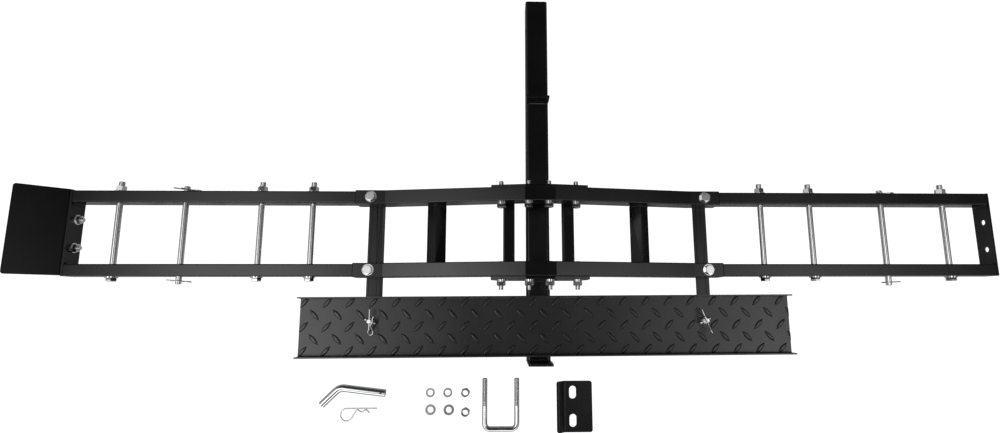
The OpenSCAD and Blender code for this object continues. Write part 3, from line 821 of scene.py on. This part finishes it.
def build_floor():
    """A matt floor that lights and shadows the carrier as paper does, and is white to the camera."""
    mesh = bpy.data.meshes.new("floor")
    z = FLOOR_Z - FLOOR_GAP
    corners = [(x * FLOOR_HALF, y * FLOOR_HALF, z) for x, y in ((-1, -1), (1, -1), (1, 1), (-1, 1))]
    mesh.from_pydata(corners, [], [(0, 1, 2, 3)])
    floor = bpy.data.objects.new("floor", mesh)
    bpy.context.scene.collection.objects.link(floor)
    s = Shader("floor_white")
    tone = s.mix(s.noise(3.0, 3.0), (0.68, 0.68, 0.68, 1), (0.72, 0.72, 0.72, 1))
    s.link(tone, s.bsdf.inputs["Base Color"])
    s.set(Roughness=0.9, Specular_IOR_Level=0.0)
    glow = s.add("ShaderNodeEmission")
    glow.inputs["Strength"].default_value = BACKDROP_WHITE
    choose = s.add("ShaderNodeMixShader")
    s.link(s.add("ShaderNodeLightPath").outputs["Is Camera Ray"], choose.inputs[0])
    s.link(s.bsdf.outputs[0], choose.inputs[1])
    s.link(glow.outputs[0], choose.inputs[2])
    s.link(choose.outputs[0], s.tree.nodes["Material Output"].inputs["Surface"])
    mesh.materials.append(s.material)


def build_world():
    """A room with two soft panels in a dark ceiling and a band of light on its walls.

    The band is brightest at the camera's side and to the left, and the camera itself sees white.
    """
    world = bpy.data.worlds.new("studio")
    world.use_nodes = True
    bpy.context.scene.world = world
    nodes = Nodes(world.node_tree)
    split = nodes.add("ShaderNodeSeparateXYZ")
    nodes.link(nodes.add("ShaderNodeTexCoord").outputs["Generated"], split.inputs["Vector"])
    x, y, z = split.outputs
    up = nodes.math("MAXIMUM", z, 0.05)
    slope_x = nodes.math("DIVIDE", x, up)
    slope_y = nodes.math("DIVIDE", y, up)

    def square(value):
        return nodes.math("MULTIPLY", value, value)

    level = nodes.math("MAXIMUM", nodes.math("SQRT", nodes.math("ADD", square(x), square(y))), 0.001)

    def lobe(value, centre, width):
        offset = nodes.math("DIVIDE", nodes.math("SUBTRACT", value, centre), width)
        return nodes.math("EXPONENT", nodes.math("MULTIPLY", square(offset), -1.0))

    def panel(centre_x, width_x, centre_y, width_y, power):
        shape = nodes.math("MULTIPLY", lobe(slope_x, centre_x, width_x), lobe(slope_y, centre_y, width_y))
        return nodes.math("MULTIPLY", shape, power)

    def facing(value):
        """1 straight towards the negative side of an axis, 0 across it and behind."""
        share = nodes.math("DIVIDE", nodes.math("MULTIPLY", value, -1.0), level)
        return nodes.math("POWER", nodes.math("MAXIMUM", share, 0.0), 2.0)

    ceiling = nodes.math("ADD", panel(*LEFT_PANEL), panel(*RIGHT_PANEL))
    ceiling = nodes.math("ADD", ceiling, CEILING_FILL)
    left = nodes.math("MULTIPLY", facing(x), WALL["left"])
    near = nodes.math("MULTIPLY", facing(y), WALL["near"])
    side = nodes.math("ADD", WALL["fill"], nodes.math("ADD", left, near))
    wall = nodes.math("MULTIPLY", lobe(z, WALL["lift"], WALL["spread"]), side)
    light = nodes.math("ADD", ceiling, wall)
    seen = nodes.add("ShaderNodeLightPath").outputs["Is Camera Ray"]
    light = nodes.math("ADD", light, nodes.math("MULTIPLY", seen, BACKDROP_WHITE))
    background = nodes.tree.nodes["Background"]
    background.inputs["Color"].default_value = (1, 1, 1, 1)
    nodes.link(light, background.inputs["Strength"])


CAMERA_PLACE = Vector((-74.0, -159.2, 1195.4)) * MM + Vector((0, TRACK_Y, 0))
CAMERA_LENS_MM = 19.33
CAMERA_SENSOR_MM = 36.0
CAMERA_SHIFT = (-0.0184, 0.0066)
CAMERA_TURN = (-0.159, 0.026, 0.002)


def build_camera():
    """Looks down on the track, turned a little about each axis."""
    pitch, roll, yaw = CAMERA_TURN
    cp, sp = math.cos(pitch), math.sin(pitch)
    cr, sr = math.cos(roll), math.sin(roll)
    cy, sy = math.cos(yaw), math.sin(yaw)
    about_x = Matrix(((1, 0, 0), (0, cp, sp), (0, -sp, cp)))
    about_y = Matrix(((cr, 0, sr), (0, 1, 0), (-sr, 0, cr)))
    about_z = Matrix(((cy, -sy, 0), (sy, cy, 0), (0, 0, 1)))
    to_camera = about_x.transposed() @ about_y @ about_z
    data = bpy.data.cameras.new("camera")
    data.lens = CAMERA_LENS_MM
    data.sensor_width = CAMERA_SENSOR_MM
    data.shift_x, data.shift_y = CAMERA_SHIFT
    data.clip_end = 100.0
    camera = bpy.data.objects.new("camera", data)
    camera.matrix_world = Matrix.Translation(CAMERA_PLACE) @ to_camera.transposed().to_4x4()
    bpy.context.scene.collection.objects.link(camera)
    bpy.context.scene.camera = camera


build_floor()
build_world()
build_camera()
bpy.context.scene.view_settings.view_transform = "Standard"
bpy.context.view_layer.update()
